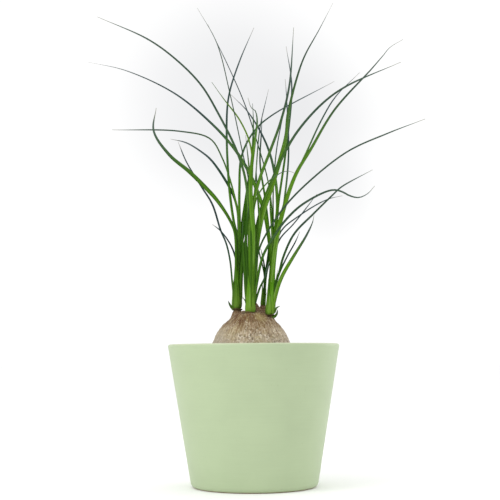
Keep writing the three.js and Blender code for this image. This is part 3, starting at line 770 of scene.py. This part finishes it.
def damp_earth(soil):
    """Dark peaty mix: crumbly noise, pale fibres and bits of bark, rough and dull."""
    finish = Finish("damp_earth")
    place = finish.place()
    grit = finish.noise(place, 0.9, 4.0, 0.7)
    lumps = finish.noise(place, 0.22, 3.0)
    threads = finish.noise(finish.stretch(place, (0.5, 2.6, 1.2)), 0.8, 2.0, 0.5, 1.5)
    fibres = finish.between(threads, 0.6, 0.72)
    tint = finish.coats(
        finish.mix(grit, (0.012, 0.008, 0.005), soil.earth),
        (lumps, 0.5, (0.06, 0.036, 0.02), 0.45, 0.75),
        (fibres, 0.55, soil.fibre),
    )
    return finish.surface(tint, 0.82 + 0.15 * grit, grit + 0.5 * fibres, 0.35, 0.25)


def crumb_mix(soil):
    """Loose crumbs of peat, bark and a little pale grit, each with a tint of its own."""
    finish = Finish("crumb_mix")
    own, kind, shade = finish.parts(finish.mark("own"))
    grit = finish.noise(finish.place(), 1.4, 3.0, 0.6)
    tint = finish.coats(
        finish.mix(own, (0.018, 0.011, 0.007), soil.earth),
        (kind, 0.8, soil.fibre, 0.72, 0.8),
        (kind, 1, (0.42, 0.38, 0.31), 0.965, 0.975),
    )
    tint = finish.shaded(tint, 0.6 + 0.5 * shade + 0.5 * grit)
    return finish.surface(tint, 0.78 + 0.18 * grit, grit, 0.2, 0.25)


class PALM_OT_soil(bpy.types.Operator):
    """Fills the pot with potting soil and scatters crumbs on it"""

    bl_idname = "palm.soil"
    bl_label = "Potting soil"

    def execute(self, context):
        soil, pot = context.scene.palm_soil, context.scene.palm_pot
        middle = context.scene.palm_base.centre_x / MM
        shell = Shell()
        shell.add_rings(*soil_bed(soil, pot, middle))
        shell.make("soil_bed", "soil", damp_earth(soil), "potting_soil")
        points, faces, tint = crumbs(soil, middle)
        loose = Shell()
        loose.add(points, faces, {"own": tint})
        loose.make("soil_crumbs", "soil", crumb_mix(soil))
        return {"FINISHED"}


# ---- swollen base ----


def front_points(front, depth):
    """Front points moved along the line of sight: viewpoint + (point - viewpoint)(1 + depth/854)."""
    flat = np.array([(x, 0.0, z) for x, z in front])
    reach = 1 - np.asarray(depth, dtype=float) / VIEWPOINT[1]
    return (flat - VIEWPOINT) * reach[..., None] + VIEWPOINT


def head_foot(head):
    """Middle of a head's foot in millimetres."""
    return front_points((head.foot,), head.depth)[0]


def corky_base(base):
    """The base's outline carried round its own upright axis. Its radius waves by
    1 + ripple (sin(3a + 0.7) + 0.6 sin(5a + 0.05z)), furrows run down from the crown, the grain is
    noise. Under every head the crown is lifted to a blunt cone, seat - fall (away - level): with d the
    height of the cone over it, it rises by (d + (d^2 + 0.6)^0.5) / 2."""
    sections = np.concatenate((np.linspace(0.004, 0.5, 44), np.linspace(0.5, 0.997, 136)[1:]))
    outline, _ = smooth_line(BASE_OUTLINE, sections)
    outline[:, 0] = np.maximum(outline[:, 0], 0.05)
    x, y, z = np.moveaxis(turned(outline, BASE_SIDES), -1, 0)
    around = np.arctan2(y, x)
    wave = 1 + base.ripple * (np.sin(3 * around + 0.7) + 0.6 * np.sin(5 * around + 0.05 * z))
    rings = np.stack((x * wave, y * wave, z), axis=-1)
    facing = unit(rings - (0, 0, BULB_MIDDLE))
    round_and_up = np.stack((np.cos(around) * 9, np.sin(around) * 9, z * 0.02), axis=-1)
    furrow = cloud(round_and_up, 1.0, 2, 31) * smooth(100, 120, z) * smooth(132, 126, z)
    grain = cloud(rings * (1, 1, 0.8), 2.6, 2, 32)
    pits = np.minimum(cloud(rings, 1.9, 1, 33) + 0.35, 0)
    relief = base.furrows / MM * furrow + base.grain / MM * (grain + pits)
    rings = rings + facing * (relief * smooth(60, 92, z))[..., None]
    middle = base.centre_x / MM
    rings[..., 0] += middle
    seats = [(head_foot(head), head.radius * head.seat[0], head.seat[1]) for head in HEADS.values()]
    for spot, level, fall in (*seats, *STUMPS):
        away = np.hypot(rings[..., 0] - spot[0], rings[..., 1] - spot[1]) + 0.35 * cloud(rings, 3.0, 2, 34)
        cone = spot[2] - 0.1 - fall * np.maximum(away - level, 0)
        over = cone - rings[..., 2]
        rise = np.where(rings[..., 2] > 100, (over + np.sqrt(over**2 + 0.6)) / 2, 0)
        rings[..., 2] += rise * smooth(9, 6, away)
    return rings, ((middle, 0, BASE_OUTLINE[0][1]), rings[-1].mean(0))


def corky_skin(base):
    """Corky skin: mottled tan and ash flakes, dark freckles, brown streaks from the crown, a painted
    sheen that makes the lower part and the flanks paler, a brown crown with rings of old leaf scars, a
    yellowish patch in front, dark scars, and dark brown rings round the heads' feet that are partly
    painted shade."""
    finish = Finish("corky_skin")
    place = finish.place()
    x, y, z = finish.parts(place)
    own_x = x - base.centre_x / MM
    radius = (own_x * own_x + y * y) ** 0.5 + 0.01
    around = finish.vector(own_x / radius, y / radius, z * 0.006)
    broad = finish.noise(place, 0.11, 3.0)
    flakes = finish.noise(finish.stretch(place, (1, 1, 0.8)), 0.5, 4.0, 0.7)
    specks = finish.noise(place, 0.66, 3.0, 0.65)
    freckles = finish.noise(finish.stretch(place, (1.1, 0.9, 0.8)), 0.6, 3.0, 0.65, 0.6)
    blots = finish.noise(finish.stretch(place, (0.9, 0.9, 0.45)), 0.42, 4.0, 0.7)
    streaks = finish.noise(around, 13.0, 4.0, 0.7, 0.5)
    pale_streaks = finish.noise(around, 21.0, 3.0, 0.7)
    dark_lines = finish.noise(around, 26.0, 3.0, 0.75, 0.8)

    def above(low, high, waver):
        """1 above an uneven level edge and 0 below it."""
        return finish.between(z + waver * (broad - 0.5), low, high)

    upper, lower, top = above(100, 124, 8), 1 - above(103, 116, 8), above(112, 127, 5)
    outer = finish.between(abs(own_x), 15, 29)
    right = finish.between(x, 12, 24)
    tint = finish.coats(
        finish.mix(finish.between(flakes, 0.4, 0.58), [v * 0.6 for v in base.cork], base.cork),
        (specks, 0.9, base.ash, 0.51, 0.6),
        (freckles, 0.9, (0.13, 0.1, 0.055), 0.53, 0.6),
        (broad, 0.4, (0.44, 0.36, 0.17), 0.48, 0.6),
        (streaks, upper * 0.62, (0.2, 0.115, 0.05), 0.49, 0.54),
        (pale_streaks, 0.5, (0.66, 0.56, 0.4), 0.52, 0.6),
        # Painted sheen: a paler grey-tan over the lower part and the flanks.
        (lower * 0.25 + outer * 0.3, 0.5 + specks, (0.58, 0.51, 0.43)),
        (0 - x, 0.45, (0.36, 0.31, 0.235), 12, 27),
        (specks, right * 0.5, (0.76, 0.66, 0.52), 0.49, 0.55),
        (freckles, right * 0.55, (0.14, 0.085, 0.05), 0.5, 0.57),
    )
    crown = finish.between(z + 4 * (flakes - 0.5), 129.6, 132.2)
    scars = finish.between((z * 4.2 + 5 * broad).cosine(), 0.2, 0.95)
    yellowish = finish.near(place, (5.2, -13.6, 126), 1.5, 5.5)
    # Dark brown rings round the feet of the heads: partly brown leaf bases, partly painted shade where the
    # heads meet the crown.
    foot_rings_and_shade = [finish.near(place, tuple(head_foot(head)), head.radius, 1.5) for head in HEADS.values()]
    tint = finish.coats(
        finish.mix(top * 0.6, tint, finish.shaded(tint, 0.66)),
        (top, 0.3, (0.3, 0.2, 0.07)),
        (blots, top * 0.85, (0.16, 0.085, 0.032), 0.49, 0.56),
        (dark_lines, above(117, 126, 9) * 0.95, (0.09, 0.036, 0.016), 0.49, 0.55),
        (yellowish, 0.1 + 0.8 * flakes, (0.38, 0.31, 0.13)),
        (crown, 0.75, base.umber),
        (crown * scars, 0.5, (0.42, 0.29, 0.2)),
        (blots, crown * 0.6, (0.06, 0.03, 0.014), 0.46, 0.56),
        # Painted shade and brown leaf bases round each head's foot.
        *((foot_ring_and_shade, 0.35 + 0.7 * flakes, (0.1, 0.06, 0.024)) for foot_ring_and_shade in foot_rings_and_shade),
        *((finish.near(place, spot, size, 1.2), 0.8, (0.06, 0.035, 0.02)) for spot, size in SCARS),
    )
    relief = 0.6 * flakes + 0.45 * specks - 0.4 * freckles + 0.5 * streaks * upper
    return finish.surface(tint, 0.72 + 0.2 * flakes, relief, 0.5, 0.2)


class PALM_OT_base(bpy.types.Operator):
    """Grows the swollen corky base"""

    bl_idname = "palm.base"
    bl_label = "Swollen base"

    def execute(self, context):
        base = context.scene.palm_base
        shell = Shell()
        shell.add_rings(*corky_base(base))
        shell.make("corky_base", "bark", corky_skin(base), "caudex")
        scale_collars(context.scene.palm_leaves).make("dry_scales", "bark", dry_scale(base))
        return {"FINISHED"}


# ---- leaves ----

# A leaf's closed section: a runs from -1 at one margin over the upper side to 1 at the other and back
# underneath, and under is 1 there.
_UPPER = np.sin(np.linspace(-np.pi / 2, np.pi / 2, 9))
ACROSS = np.concatenate((_UPPER, _UPPER[-2:0:-1]))
UNDER = np.repeat((0.0, 1.0), (9, 7))

LEAF_MATERIAL = "leaf_tissue"


def repeatable(seed):
    """Repeatable random numbers from 0 to 1: state becomes 1664525 state + 1013904223."""
    state = seed
    while True:
        state = (state * 1664525 + 1013904223) % 4294967296
        yield state / 4294967296


def leaf_points(depth, front, head):
    """Points of a leaf: its root is a little before or behind the head's middle, and its depth grows
    with a power of the share of its front length."""
    steps = np.linalg.norm(np.diff(np.array(front, dtype=float), axis=0), axis=1)
    share = np.concatenate(((0,), np.cumsum(steps))) / steps.sum()
    root = head.depth + np.sign(depth) * ROOT_SPREAD * head.radius
    return front_points(front, root + depth * share**DEPTH_POWER)


def way_round(number, start):
    """The level direction of one of several things that stand a golden angle apart."""
    azimuth = number * GOLDEN_ANGLE + start
    return np.array((math.cos(azimuth), math.sin(azimuth), 0))


def add_strap(shell, points, half_width, channel, body, facing, look, seed,
              level=False, roll=0.0, wander=0.0, shade=0.0):
    """Adds a leaf, its section carried along a smooth line. Across the section, a from -1 to 1, it is
    the arc (half sin(Aa)/A, half (1 - cos(Aa))/A) with a lens thickness (1 - a^2)^0.5, and a small
    keel below its midrib. half_width(s) gives half along the share s of its length, and the channel
    gives A = root (1 - loss s) + least. The body is its thickness and the spacing of its sections.
    The upper side faces against the facing, turned about the line by the roll; the section stays
    square to the facing, or else level. The look is where it fades, how light it is and how yellow,
    and the shade darkens its root."""
    thickness, spacing = body
    rough_length = np.linalg.norm(np.diff(points, axis=0), axis=1).sum()
    stations = np.linspace(0, 1, max(10, round(rough_length / spacing)) + 1)
    line, whole = smooth_line(points, stations)
    along = unit(np.gradient(line, axis=0))
    if level:
        sideways = np.cross((0, 0, 1), facing)
        across = unit(sideways - along * (along @ sideways)[:, None])
    else:
        across = unit(np.cross(along, facing))
    upper = np.cross(along, across)
    a, s = ACROSS[None], stations[:, None]
    turn = np.radians(roll) * smooth(0.1, 0.7, s) + wander * np.sin(5.2 * s + 3 * wander) * s
    cos, sin = np.cos(turn), np.sin(turn)
    across, upper = across * cos + upper * sin, upper * cos - across * sin
    root, loss, least = channel
    half, arc = half_width(s), root * (1 - loss * s) + least
    thin = thickness * np.minimum(1, half / 1.1)
    side = half * np.sin(arc * a) / arc
    lift = half * (1 - np.cos(arc * a)) / arc
    lift = lift + np.where(UNDER == 1, -0.5, 0.5) * thin * np.sqrt(np.clip(1 - a * a, 0, 1))
    lift = lift - UNDER * 0.35 * thin * np.exp(-((a / 0.16) ** 2))
    rings = line[:, None] + across[:, None] * side[..., None] + upper[:, None] * lift[..., None]
    fade, light, warm = look
    # Painted shade over the root of the leaf.
    light = light - shade * (1 - smooth(0.1, 0.32, s))
    strip = (a * half * np.sin(arc) / arc, s * whole, seed * 17.3)
    look = (fade, light, warm, UNDER)
    shell.add_rings(rings, (line[0], line[-1]), spread=(a / 2 + 0.5, s), strip=strip, look=look)


def blade_width(width, late):
    """Half the width of a blade along s: a least width, which narrows towards the tip, and
    (width/2 - least) (1 - s^2.6)^1.9 (1 + 0.5 e^(-12s)) over it. A late blade has s^5 there, and half
    of that part up to s = 0.35."""
    least = min(0.55, 0.36 * width)
    bend, start, tip = (5, 0.5, 0.92) if late else (2.6, 1.0, 0.82)

    def half(s):
        broad = (width / 2 - least) * (1 - s**bend) ** 1.9 * (1 + 0.5 * np.exp(-12 * s))
        broad = broad * (start + (1 - start) * smooth(0.35, 0.6, s))
        return (broad + least * (1 - 0.68 * smooth(tip, 1.0, s))) * (0.5 + 0.5 * smooth(0, 0.03, s))

    return half


def core_ends(head):
    """The middle of a core's foot and of its top in millimetres."""
    x, z = head.foot
    return front_points(((x, z - CORE_SINK), head.top), head.depth)


def add_core(shell, head):
    """Adds the core of a head: rings from its foot to its top that shrink from the foot's radius to
    1.3 mm, with shallow upright ribs."""
    foot, top = core_ends(head)
    s = np.linspace(0, 1, 20)[:, None]
    angles = np.linspace(0, 2 * np.pi, CORE_SIDES, endpoint=False)[None]
    drawn_in = 0.4 + 0.6 * np.sqrt(1 - (1 - np.minimum(1, s / 0.13)) ** 2)
    reach = head.radius + (min(1.3, 0.35 * head.radius) - head.radius) * s
    reach = reach * drawn_in * (1 + 0.05 * np.cos(6 * angles + 2 * s))
    line = foot + (top - foot) * s
    rings = line[:, None] + np.stack((reach * np.cos(angles), reach * np.sin(angles), reach * 0), axis=-1)
    turns = angles / (2 * np.pi)
    strip, look = (turns * 24, s * 40, 52), (1.2, head.light, 0.2, 0.0)
    shell.add_rings(rings, (line[0], line[-1]), spread=(turns, s * 0.2), strip=strip, look=look)


def add_sheaths(shell, head, leaves, draws):
    """Overlapping sheaths round the core, a golden angle apart: each hugs the core at its foot, with
    a half width there of a little over the core's radius, and runs out into a point."""
    foot, top = core_ends(head)
    radius = head.radius
    t = np.array((0, 0.03, 0.08, 0.16, 0.35, 0.6, 0.8, 1.0))[:, None]
    rounded = 0.36 + 0.58 * np.sqrt(1 - (1 - np.minimum(1, t / 0.16)) ** 2)

    def half(s):
        full = 0.9 * radius * (1 - s**1.6) * (1 - 0.25 * s)
        return np.maximum(0.1, full * (0.4 + 0.6 * smooth(0, 0.14, s)))

    for number in range(SHEATHS):
        way = way_round(number, 0.9 + head.foot[0])
        tall = radius * (4 + 6 * next(draws))
        middle = foot + (top - foot) * t * tall / (top[2] - foot[2])
        points = middle + way * (radius * (1 - 0.45 * t) * rounded + 0.07 * number + 1.2 * t**3)
        look = (1.2, head.light + 0.9 * (next(draws) - 0.5), 0.2)
        body = (leaves.thickness / MM * 0.9, 1.2)
        add_strap(shell, points, half, (1.05, 0.75, 0.02), body, way, look, number + 40, level=True)


def scale_collars(leaves):
    """Short dry scales round the foot of every head, a golden angle apart, each a wide strap that
    leans out from the core and runs into a ragged point."""
    shell = Shell()
    draws = repeatable(SCALE_SEED)
    t = np.array((0, 0.35, 0.7, 1.0))[:, None]
    for head in HEADS.values():
        foot = head_foot(head)
        for number in range(SCALES):
            way = way_round(number, foot[0])
            tall = 0.75 + 1.3 * next(draws) ** 3
            wide = head.radius * (0.45 + 0.3 * next(draws))
            points = foot + way * (head.radius * (0.8 + 0.26 * t) + 0.03 * number)
            points[:, 2:] += tall * t - 1.2

            def half(s, wide=wide):
                return np.maximum(0.08, wide * (1 - s**2.2) ** 0.7)

            body = (leaves.thickness / MM * 0.5, 0.35)
            look = (0.2, 0.5, next(draws))
            add_strap(shell, points, half, (0.8, 0.5, 0), body, way, look, number + 60, level=True)
    return shell


def dry_scale(base):
    """Papery brown scale, darker at its root, with fine upright fibres."""
    finish = Finish("dry_scale")
    strip = finish.mark("strip")
    root = 1 - finish.between(finish.parts(strip)[1], 0.2, 1.6)
    dark = finish.parts(finish.mark("look", "Color"))[2]
    fibres = finish.noise(finish.stretch(strip, (5.0, 0.5, 1)), 1.0, 3.0)
    tint = finish.coats(
        finish.mix(fibres, [v * 0.5 for v in base.umber], (0.2, 0.17, 0.055)),
        (dark, 0.6, (0.05, 0.045, 0.012)),
        (root, 0.7, (0.045, 0.024, 0.012)),
    )
    return finish.surface(tint, 0.75 + 0.15 * fibres, fibres, 0.08, 0.2)


def leaf_finish(leaves):
    """Leaf tissue: yellowish at the root, partly as a painted highlight, fresh to deep green by the leaf's
    own tone, dark blue-green further out that also paints the shade of backlit leaves, and straw at the
    very tip, with fine parallel veins, a pale midrib, a dark margin that is partly painted shade, long
    streaks with a painted sheen and a duller underside."""
    finish = Finish(LEAF_MATERIAL)
    strip = finish.mark("strip")
    across_mm, along_mm, _ = finish.parts(strip)
    fade, light, warm = finish.parts(finish.mark("look", "Color"))
    under = finish.mark("look", "Alpha")
    across, along, _ = finish.parts(finish.node("ShaderNodeUVMap", {"uv_map": "spread"}))
    streaks = finish.noise(finish.stretch(strip, (1.1, 0.03, 1)), 1.0, 3.0, 0.6)
    patches = finish.noise(finish.stretch(strip, (0.45, 0.025, 1)), 1.0, 2.0)
    veins = (across_mm * 14.0).cosine()
    side = abs(across - 0.5) * 2
    lightness = light + 1.1 * (streaks - 0.5) + 0.9 * (patches - 0.5)
    outer = finish.between(along + 0.25 * (patches - 0.5), fade - 0.24, fade + 0.16)
    # Dark blue-green for the outer part: the leaf's colour, darkened as painted shade of backlit leaves.
    blue_green_and_shade = finish.mix(finish.between(streaks, 0.3, 0.7), leaves.blue_green_and_shade, [v * 1.5 for v in leaves.blue_green_and_shade])
    # Paler yellow-green near the root: partly the leaf base's own colour, partly a painted highlight on the
    # lighter leaves.
    root = (1 - finish.between(along_mm, 1.0, 22.0)) * finish.between(light, -0.3, 0.5)
    sheen = finish.between(light, 0.1, 0.8) * (1 - outer)
    dry = 1 - finish.between(fade, 0.93, 0.99)
    tint = finish.coats(
        finish.mix(finish.between(lightness, 0, 1), leaves.deep, leaves.fresh),
        (warm, 0.55, leaves.olive),
        # Painted shade, with the blue-green colour, on the outer part of the leaf.
        (outer, 1, blue_green_and_shade),
        # Painted highlight, with the paler leaf base, near the root.
        (root, 0.52, (0.22, 0.37, 0.045)),
        # Painted sheen: pale highlight streaks on the lighter, greener parts of the leaves.
        (streaks + 0.4 * (patches - 0.5), sheen * 0.55, (0.29, 0.46, 0.13), 0.53, 0.68),
        (1 - finish.between(side, 0.03, 0.2), 0.14, (0.2, 0.34, 0.07)),
        # Darker margins: partly the leaf's own margin, partly painted shade on the edges that curl away from
        # the light.
        (side, 0.72, (0.008, 0.03, 0.004), 0.76, 0.94),
        (along, outer * 0.3, (0.2, 0.235, 0.24), 0.7, 0.95),
        (along + 0.05 * (streaks - 0.5), dry * 0.6, leaves.straw, 0.93, 0.995),
        (under, 0.16, (0.11, 0.2, 0.03)),
    )
    tint = finish.shaded(tint, 0.95 + 0.06 * veins)
    rough = 0.4 + 0.14 * streaks + 0.12 * under
    return finish.surface(tint, rough, 0.3 * veins + 0.7 * streaks, 0.06, 0.05)


def tuft(name, leaves):
    """All the leaves of one head with their core and sheaths."""
    head = HEADS[name]
    draws = repeatable(LEAF_SEED + list(HEADS).index(name))
    shell = Shell()
    channel = (leaves.channel, 0.65, 0.02)
    thickness, spacing = leaves.thickness / MM, leaves.spacing / MM
    add_core(shell, head)
    for number, (width, depth, roll, tone, fade, *front) in enumerate(LEAVES[name]):
        points = leaf_points(depth, front, head)
        half = blade_width(width, number < head.late)
        facing = (0, math.copysign(1, depth), 0)
        upwards = -math.copysign(roll, depth * (front[-1][0] - front[0][0]))
        wander = 0.7 * (next(draws) - 0.5)
        add_strap(
            shell, points, half, channel, (thickness, spacing), facing, (fade, *TONES[tone]), number + 1,
            roll=upwards, wander=wander, shade=head.shade,
        )
    for number, (width, depth, *front) in enumerate(DRY_ENDS[name]):

        def half(s, width=width):
            return np.maximum(0.12, width / 2 * (1 - s**2.4) ** 0.8)

        points = leaf_points(depth, front, head)
        body, look = (thickness * 1.3, 0.7), (0.75, 0.15, 0.0)
        add_strap(shell, points, half, channel, body, (0, 1, 0), look, number + 20)
    add_sheaths(shell, head, leaves, draws)
    return shell


class PALM_OT_leaves(bpy.types.Operator):
    """Grows the tuft of leaves of one head"""

    bl_idname = "palm.leaves"
    bl_label = "Leaf tuft"

    head: bpy.props.EnumProperty(
        name="Head", description="Head that the leaves grow from",
        items=[(name, name.title(), "The " + name + " head") for name in HEADS],
    )

    def execute(self, context):
        leaves, name = context.scene.palm_leaves, self.head
        material = bpy.data.materials.get(LEAF_MATERIAL) or leaf_finish(leaves)
        tuft(name, leaves).make("leaf_tuft_" + name, "foliage", material, "leaf_head_" + name)
        return {"FINISHED"}


# ---- stage ----

# Half the side of the floor in metres.
FLOOR_REACH = 14.0

# Faint grey clouds in the surroundings: the way to each, how grey it is, its radius and its blur.
CLOUDS = (
    ((-0.012, 0.973, 0.225), 0.75, 0.03, 0.105),
    ((0.06, 0.976, 0.208), 0.5, 0.01, 0.085),
    ((0.074, 0.988, 0.14), 0.45, 0.01, 0.05),
)


def add_floor():
    """A wide plain pale floor."""
    finish = Finish("pale_floor")
    grain = finish.noise(finish.place(), 0.01, 2.0)
    tint = finish.mix(grain, (0.97, 0.97, 0.97), (0.99, 0.99, 0.99))
    mesh = bpy.data.meshes.new("floor")
    corners = [(FLOOR_REACH * x, FLOOR_REACH * y, 0) for x, y in ((-1, -1), (1, -1), (1, 1), (-1, 1))]
    mesh.from_pydata(corners, [], [(0, 1, 2, 3)])
    mesh.materials.append(finish.surface(tint, 0.9, grain, 0.01, 0.1))
    floor = put("floor", mesh)


def add_sky(strength):
    """White surroundings with a faint grey cloud beyond the leaves."""
    world = bpy.data.worlds.new("surroundings")
    bpy.context.scene.world = world
    finish = Finish("surroundings", world)
    way = finish.node("ShaderNodeTexCoord", output="Generated")
    wisps = finish.noise(way, 9.0, 2.0)
    clear = 1
    for spot, grey, radius, blur in CLOUDS:
        clear = clear * (1 - grey * finish.near(way, spot, radius, blur))
    tint = finish.mix((1 - clear) * (0.75 + 0.5 * wisps), (1.03, 1.03, 1.03), (0.79, 0.793, 0.808))
    shader = finish.node("ShaderNodeBackground", None, {"Color": tint, "Strength": strength})
    finish.node("ShaderNodeOutputWorld", None, {"Surface": shader})


def add_light(name, power, size, spot):
    """A round soft light at a spot in metres that faces the plant."""
    light = bpy.data.lights.new(name, "AREA")
    light.shape, light.size, light.energy = "DISK", size, power
    turn = (Vector((0, 0, 0.15)) - Vector(spot)).to_track_quat("-Z", "Y")
    put(name, light).matrix_world = Matrix.Translation(spot) @ turn.to_matrix().to_4x4()


def add_camera(stage):
    """The camera: it stands at the standpoint, turned by its yaw, pitch and roll in that order."""
    data = bpy.data.cameras.new("camera")
    data.lens, data.sensor_width = stage.lens, 36.0
    data.clip_start, data.clip_end = 0.05, 60.0
    camera = put("camera", data)
    turn = Matrix.Rotation(stage.yaw, 4, "Z") @ Matrix.Rotation(math.pi / 2 + stage.pitch, 4, "X")
    lean = Matrix.Rotation(stage.roll, 4, "Z")
    camera.matrix_world = Matrix.Translation(stage.standpoint) @ turn @ lean
    bpy.context.scene.camera = camera


class PALM_OT_stage(bpy.types.Operator):
    """Sets the floor, the surroundings, the light and the camera"""

    bl_idname = "palm.stage"
    bl_label = "Stage"

    def execute(self, context):
        stage = context.scene.palm_stage
        add_floor()
        add_sky(stage.sky)
        add_light("key_light", stage.key, 1.1, (-1.25, -0.95, 1.15))
        add_light("rim_light", stage.rim, 0.9, (1.3, 0.75, 0.5))
        add_camera(stage)
        view = context.scene.view_settings
        view.view_transform, view.look = "Standard", "None"
        return {"FINISHED"}


# ---- panel and registration ----

# The sizes of each operator: palm.pot has palm_pot, and so on.
GROUPS = {
    "palm_pot": PALM_PG_pot,
    "palm_soil": PALM_PG_soil,
    "palm_base": PALM_PG_base,
    "palm_leaves": PALM_PG_leaves,
    "palm_stage": PALM_PG_stage,
}
OPERATORS = (PALM_OT_pot, PALM_OT_soil, PALM_OT_base, PALM_OT_leaves, PALM_OT_stage)


class PALM_PT_panel(bpy.types.Panel):
    """Lists the pieces of the palm"""

    bl_label = "Potted ponytail palm"
    bl_idname = "PALM_PT_panel"
    bl_space_type = "VIEW_3D"
    bl_region_type = "UI"
    bl_category = "Palm"

    def draw(self, context):
        for group, kind in GROUPS.items():
            box = self.layout.box()
            for name in kind.__annotations__:
                box.prop(getattr(context.scene, group), name)
            operator = group.replace("_", ".")
            if operator == "palm.leaves":
                for head in HEADS:
                    box.operator(operator, text="Leaf tuft, " + head).head = head
            else:
                box.operator(operator)


def register():
    for kind in (*GROUPS.values(), *OPERATORS, PALM_PT_panel):
        bpy.utils.register_class(kind)
    for name, kind in GROUPS.items():
        setattr(bpy.types.Scene, name, bpy.props.PointerProperty(type=kind))


def unregister():
    for name in GROUPS:
        delattr(bpy.types.Scene, name)
    for kind in (PALM_PT_panel, *OPERATORS, *reversed(GROUPS.values())):
        bpy.utils.unregister_class(kind)


def main():
    register()
    bpy.ops.palm.pot()
    bpy.ops.palm.soil()
    bpy.ops.palm.base()
    for head in HEADS:
        bpy.ops.palm.leaves(head=head)
    bpy.ops.palm.stage()


if __name__ == "__main__":
    main()
